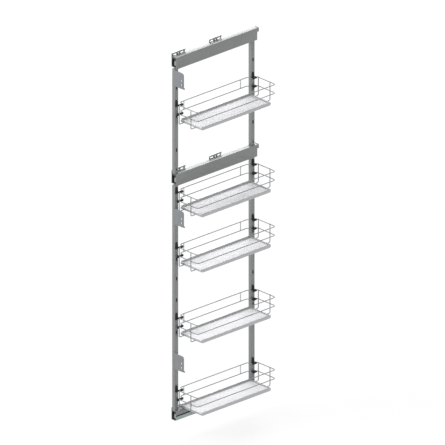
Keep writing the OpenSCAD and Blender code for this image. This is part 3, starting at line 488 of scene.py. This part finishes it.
class LARDER_OT_stage(bpy.types.Operator):
    """Sets the camera, the lamps, the world and a plain pale floor"""
    bl_idname = "larder.stage"
    bl_label = "Stage"

    def execute(self, context):
        scene = context.scene
        scene.view_settings.view_transform = "Standard"
        self.camera(scene)
        self.world(scene)
        self.floor(scene)
        for name, place, target, size, power in LAMPS:
            lamp = bpy.data.lights.new(name, "AREA")
            lamp.shape, lamp.size, lamp.energy = "SQUARE", size, power
            thing = bpy.data.objects.new(name, lamp)
            scene.collection.objects.link(thing)
            thing.location = place
            thing.rotation_euler = (Vector(target) - Vector(place)).to_track_quat("-Z", "Y").to_euler()
        return {"FINISHED"}

    def camera(self, scene):
        level = math.cos(CAMERA_ELEVATION)
        back = Vector((math.sin(CAMERA_AZIMUTH) * level, -math.cos(CAMERA_AZIMUTH) * level,
                       math.sin(CAMERA_ELEVATION)))
        lens = bpy.data.cameras.new("camera")
        lens.type = "ORTHO"
        lens.ortho_scale = CAMERA_WIDTH
        lens.clip_end = CAMERA_REACH
        camera = bpy.data.objects.new("camera", lens)
        scene.collection.objects.link(camera)
        camera.location = Vector(CAMERA_AIM) + back * CAMERA_DISTANCE
        camera.rotation_euler = (-back).to_track_quat("-Z", "Y").to_euler()
        scene.camera = camera

    def world(self, scene):
        world = bpy.data.worlds.new("studio")
        world.use_nodes = True
        tree = world.node_tree
        tree.nodes.clear()
        seen = self.seen_rays(tree)
        soft = put(tree, "ShaderNodeBackground",
                   inputs={"Color": linear("f6f6f7"), "Strength": WORLD_STRENGTH})
        white = put(tree, "ShaderNodeBackground", inputs={"Color": (1, 1, 1, 1), "Strength": 1.0})
        both = put(tree, "ShaderNodeMixShader", inputs={"Fac": seen})
        tree.links.new(soft.outputs["Background"], both.inputs[1])
        tree.links.new(white.outputs["Background"], both.inputs[2])
        put(tree, "ShaderNodeOutputWorld", inputs={"Surface": both.outputs["Shader"]})
        scene.world = world

    def seen_rays(self, tree):
        """1 for rays that show the background: straight from the camera, or by way of gloss or glass."""
        ray = put(tree, "ShaderNodeLightPath")
        mirrored = put(tree, "ShaderNodeMath", {"operation": "MAXIMUM"},
                       {0: ray.outputs["Is Glossy Ray"], 1: ray.outputs["Is Transmission Ray"]})
        seen = put(tree, "ShaderNodeMath", {"operation": "MAXIMUM"},
                   {0: ray.outputs["Is Camera Ray"], 1: mirrored.outputs["Value"]})
        return seen.outputs["Value"]

    def floor(self, scene):
        bm = bmesh.new()
        bmesh.ops.create_grid(bm, x_segments=1, y_segments=1, size=FLOOR_HALF_SIDE)
        bmesh.ops.translate(bm, verts=bm.verts, vec=(0, 0, FLOOR_Z))
        mesh = bpy.data.meshes.new("floor")
        bm.to_mesh(mesh)
        bm.free()
        floor = bpy.data.objects.new("floor", mesh)
        scene.collection.objects.link(floor)
        material = bpy.data.materials.new("pale_floor")
        material.use_nodes = True
        tree = material.node_tree
        tree.nodes.clear()
        pale = put(tree, "ShaderNodeBsdfDiffuse", inputs={"Color": linear("f2f2f2")})
        white = put(tree, "ShaderNodeEmission", inputs={"Color": (1, 1, 1, 1), "Strength": 1.0})
        bright = put(tree, "ShaderNodeMixShader", inputs={"Fac": FLOOR_GLOW})
        tree.links.new(pale.outputs["BSDF"], bright.inputs[1])
        tree.links.new(white.outputs["Emission"], bright.inputs[2])
        seen = put(tree, "ShaderNodeMixShader", inputs={"Fac": self.seen_rays(tree)})
        tree.links.new(pale.outputs["BSDF"], seen.inputs[1])
        tree.links.new(bright.outputs["Shader"], seen.inputs[2])
        put(tree, "ShaderNodeOutputMaterial", inputs={"Surface": seen.outputs["Shader"]})
        mesh.materials.append(material)


# ---------------------------------------------------------------- cabinet side and runners

class LARDER_OT_cabinet_side(bpy.types.Operator):
    """Finishes the mounting plates and their rivets"""
    bl_idname = "larder.cabinet_side"
    bl_label = "Mounting plates"

    def execute(self, context):
        edge = context.scene.larder_sizes.sheet_edge
        for level in LEVELS:
            # The plates and rivets take the lighter zinc, which is painted light
            rounded_copy(f"{level}_cabinet_plates", f"mounting_plates_{level}", edge, "cabinet_side",
                         finish("plate_zinc_painted_light"))
        dress("plate_rivets", finish("plate_zinc_painted_light"))
        return {"FINISHED"}


class LARDER_OT_runners(bpy.types.Operator):
    """Finishes the telescopic runners: profiles, centre members, ball cages and end buffers"""
    bl_idname = "larder.runners"
    bl_label = "Ball runners"

    def execute(self, context):
        sizes = context.scene.larder_sizes
        for level in LEVELS:
            rounded_copy(f"{level}_cabinet_profile", f"cabinet_profile_{level}", sizes.sheet_edge * 0.6,
                         "cabinet_side", finish("zinc"))
            rounded_copy(f"{level}_moving_profile", f"moving_profile_{level}", sizes.sheet_edge * 0.6,
                         "frame", finish("zinc"))
            rounded_copy(f"{level}_centre_member", f"centre_member_{level}", sizes.sheet_edge * 0.6,
                         f"{level}_centre", finish("zinc"))
            rounded_copy(f"{level}_end_buffers", f"end_buffers_{level}", sizes.clip_edge,
                         "frame", finish("acetal"))
            for side in ("cabinet", "moving"):
                dress(f"{level}_{side}_ball_cage", finish("bearing"))
        rounded_copy("runner_front_tabs", "front_tabs", sizes.sheet_edge, "frame", finish("zinc"))
        return {"FINISHED"}


# ---------------------------------------------------------------- frame and door brackets

class LARDER_OT_frame(bpy.types.Operator):
    """Finishes the rail covers, the bottom carriage bracket, the uprights, and a black strip under the
    bracket that stands in for the shadowed gap there as painted shadow
    """
    bl_idname = "larder.frame"
    bl_label = "Rails and uprights"

    def execute(self, context):
        edge = context.scene.larder_sizes.sheet_edge
        for node in ("top_rail_cover", "middle_rail_cover", "bottom_carriage_bracket",
                     "front_upright_upper", "front_upright_lower",
                     "rear_upright_upper", "rear_upright_lower"):
            rounded_copy(node, f"{node}_coated", edge, "frame", finish("frame_coat"))
        # Painted shadow: a black strip put under the carriage bracket where there is only a dark, shadowed
        # gap
        rounded_copy("bottom_guide_strip", "guide_strip", context.scene.larder_sizes.clip_edge * 0.6, "frame",
                     finish("acetal"))
        for node in ("upright_inserts", "flange_screws"):
            dress(node, finish("zinc"))
        return {"FINISHED"}


class LARDER_OT_door_brackets(bpy.types.Operator):
    """Finishes the door brackets and sets a cross-recessed pan head on each of their screws"""
    bl_idname = "larder.door_brackets"
    bl_label = "Door brackets"

    def execute(self, context):
        sizes = context.scene.larder_sizes
        for level in LEVELS:
            rounded_copy(f"door_bracket_{level}", f"door_plate_{level}", sizes.sheet_edge, "frame",
                         finish("bracket_coat"))
        dress("door_bracket_screws", finish("zinc"))
        low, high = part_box("door_bracket_screws")
        seat, middle = high.x - SCREW_HEAD_HEIGHT, (low.y + high.y) / 2
        points = bpy.data.meshes.new("screw points")
        places = []
        for level in LEVELS:
            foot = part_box(f"door_bracket_{level}")[0].z
            places += [(seat, middle, foot + height) for height in SCREW_HEIGHTS]
        points.from_pydata(places, [], [])
        head = self.pan_head(sizes.head / 2)
        mesh = grown(points, placed_parts_tree(head, finish("zinc")),
                     {"Turn": (0.0, math.pi / 2, 0.0), "Spread": math.pi / 2, "Seed": 3}, "door_screw_heads")
        bpy.data.objects.remove(head)
        make_object("door_screw_heads", mesh, "frame", finish("zinc"))
        return {"FINISHED"}

    def pan_head(self, radius):
        """A pan head about the Z axis, its seat at Z = 0, with a cross recess in its crown."""
        bm = bmesh.new()
        around, height = 32, 2.1 * MM
        rings = [(radius, 0.0), (radius, 0.7 * MM), (radius * 0.95, 1.3 * MM), (radius * 0.82, 1.8 * MM),
                 (radius * 0.66, height)]
        turns = [2 * math.pi * i / around for i in range(around)]
        loops = [[bm.verts.new((r * math.cos(turn), r * math.sin(turn), z)) for turn in turns]
                 for r, z in rings]
        for lower, upper in zip(loops, loops[1:]):
            for i in range(around):
                j = (i + 1) % around
                bm.faces.new((lower[i], lower[j], upper[j], upper[i]))
        bm.faces.new(list(reversed(loops[0])))
        a, b = 0.5 * MM, 1.9 * MM
        cross = [(b, -a), (b, a), (a, a), (a, b), (-a, b), (-a, a), (-b, a), (-b, -a), (-a, -a), (-a, -b),
                 (a, -b), (a, -a)]
        mouth = [bm.verts.new((px, py, height)) for px, py in cross]
        deep = [bm.verts.new((px * 0.6, py * 0.6, height - 1.3 * MM)) for px, py in cross]
        edges = [bm.edges.new((mouth[i], mouth[(i + 1) % 12])) for i in range(12)]
        edges += [e for e in bm.edges if e.verts[0] in loops[-1] and e.verts[1] in loops[-1]]
        bmesh.ops.triangle_fill(bm, edges=edges, use_beauty=True, use_dissolve=False, normal=(0, 0, 1))
        for i in range(12):
            j = (i + 1) % 12
            bm.faces.new((mouth[j], mouth[i], deep[i], deep[j]))
        bm.faces.new(deep)
        bmesh.ops.recalc_face_normals(bm, faces=bm.faces)
        smooth_by_angle(bm, 40)
        mesh = bpy.data.meshes.new("pan head")
        bm.to_mesh(mesh)
        bm.free()
        head = bpy.data.objects.new("pan head", mesh)
        bpy.context.scene.collection.objects.link(head)
        return head


# ---------------------------------------------------------------- clips and baskets

class LARDER_OT_clips(bpy.types.Operator):
    """Finishes the moulded clips that the baskets hang in"""
    bl_idname = "larder.clips"
    bl_label = "Basket clips"

    def execute(self, context):
        edge = context.scene.larder_sizes.clip_edge
        for number in BASKETS:
            rounded_copy(f"basket_clips_{number}", f"clips_{number}", edge, "frame", finish("acetal"))
        return {"FINISHED"}


class LARDER_OT_wires(bpy.types.Operator):
    """Sweeps the baskets' wires along their bends and drops a weld bead where they cross"""
    bl_idname = "larder.wires"
    bl_label = "Basket wires"

    def execute(self, context):
        sizes = context.scene.larder_sizes
        tree = swept_wire_tree(finish("wire"))
        for number in BASKETS:
            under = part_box(f"basket_rim_{number}")[0].z
            seed, straps = self.paths(under, sizes.wire)
            mesh = grown(seed, tree, {"Wire diameter": sizes.wire, "Sides": 14, "Bead size": sizes.bead,
                                      "Seed": number}, f"basket_{number}_wires")
            make_object(f"basket_{number}_wires", mesh, f"basket_{number}", finish("wire"),
                        [f"basket_wires_{number}"])
            bm = bmesh.new()
            for low, high in straps:
                self.strap(bm, low, high)
            mesh = bpy.data.meshes.new(f"basket_{number}_straps")
            bm.to_mesh(mesh)
            bm.free()
            make_object(f"basket_{number}_straps", mesh, f"basket_{number}", finish("strap"))
        return {"FINISHED"}

    def paths(self, under, wire):
        """The centre lines of both rings and both supports, with the welded points marked."""
        side, jog, outer = RING_X
        (y0, y1), (step0, step1) = RING_Y, RING_STEP_Y
        plan = [(side, step0), (jog, step0), (jog, y0), (outer, y0), (outer, y1), (jog, y1), (jog, step1),
                (side, step1)]
        rings = tuple(under + height for height in RING_HEIGHTS)
        chains = [(bend_corners([Vector((x, y, z)) for x, y in plan], RING_BENDS), True) for z in rings]
        welds = []
        beside = wire - WELD_SINK
        for x in SUPPORT_X:
            front, rear = y0 - beside, y1 + beside
            foot, top = under + SUPPORT_FOOT, rings[1] + SUPPORT_PAST_RING
            corners = [Vector((x, front, top)), Vector((x, front, foot)), Vector((x, rear, foot)),
                       Vector((x, rear, top))]
            chains.append((bend_corners(corners, [0, SUPPORT_BEND, SUPPORT_BEND, 0]), False))
            for z in rings:
                welds += [(x, y0 - beside / 2, z), (x, y1 + beside / 2, z)]
        straps = [((STRAP_X[0], y - STRAP_HALF_WIDTH, rings[0] - STRAP_PAST_RING),
                   (STRAP_X[1], y + STRAP_HALF_WIDTH, rings[1] + STRAP_PAST_RING))
                  for y in (step0 + STRAP_FROM_STEP[0], step1 + STRAP_FROM_STEP[1])]
        points, edges = [], []
        for chain, closed in chains:
            first = len(points)
            points += [tuple(p) for p in chain]
            edges += [(first + i, first + i + 1) for i in range(len(chain) - 1)]
            if closed:
                edges.append((len(points) - 1, first))
        mark = [False] * len(points) + [True] * len(welds)
        mesh = bpy.data.meshes.new("wire paths")
        mesh.from_pydata(points + welds, edges, [])
        mesh.attributes.new("weld", "BOOLEAN", "POINT").data.foreach_set("value", mark)
        return mesh, straps

    def strap(self, bm, low, high):
        """A flat strap welded to both rings, with its edges rounded."""
        made = bmesh.ops.create_cube(bm, size=1.0)["verts"]
        low, high = Vector(low), Vector(high)
        for vert in made:
            vert.co = Vector([low[i] + (vert.co[i] + 0.5) * (high[i] - low[i]) for i in range(3)])
        edges = {e for v in made for e in v.link_edges}
        rounded = bmesh.ops.bevel(bm, geom=list(edges), offset=STRAP_EDGE, segments=2, profile=0.5,
                                  affect="EDGES")
        for face in rounded["faces"]:
            face.smooth = True


class LARDER_OT_trays(bpy.types.Operator):
    """Finishes the trays: lacquered rims and white floors"""
    bl_idname = "larder.trays"
    bl_label = "Trays"

    def execute(self, context):
        edge = context.scene.larder_sizes.tray_edge
        for number in BASKETS:
            body = f"basket_{number}"
            rounded_copy(f"basket_rim_{number}", f"basket_{number}_rim", edge, body, finish("rim"),
                         3)
            rounded_copy(f"basket_floor_{number}", f"basket_{number}_floor", edge, body, finish("board"),
                         3)
        return {"FINISHED"}


class LARDER_PT_panel(bpy.types.Panel):
    """Lists the sizes, the colours and the steps of the larder's finish"""
    bl_idname = "LARDER_PT_panel"
    bl_label = "Pull-out larder"
    bl_space_type = "VIEW_3D"
    bl_region_type = "UI"
    bl_category = "Larder"

    def draw(self, context):
        column = self.layout.column()
        for group in (context.scene.larder_sizes, context.scene.larder_colours):
            for name in group.__annotations__:
                column.prop(group, name)
            column.separator()
        for step in STEPS:
            column.operator(step.bl_idname)


STEPS = (LARDER_OT_stage, LARDER_OT_cabinet_side, LARDER_OT_runners, LARDER_OT_frame,
         LARDER_OT_door_brackets, LARDER_OT_clips, LARDER_OT_wires, LARDER_OT_trays)
CLASSES = (LarderSizes, LarderColours) + STEPS + (LARDER_PT_panel,)


def register():
    for item in CLASSES:
        bpy.utils.register_class(item)
    bpy.types.Scene.larder_sizes = bpy.props.PointerProperty(type=LarderSizes)
    bpy.types.Scene.larder_colours = bpy.props.PointerProperty(type=LarderColours)


def unregister():
    del bpy.types.Scene.larder_colours
    del bpy.types.Scene.larder_sizes
    for item in reversed(CLASSES):
        bpy.utils.unregister_class(item)


def main():
    register()
    for step in STEPS:
        group, name = step.bl_idname.split(".")
        getattr(getattr(bpy.ops, group), name)()


if __name__ == "__main__":
    main()
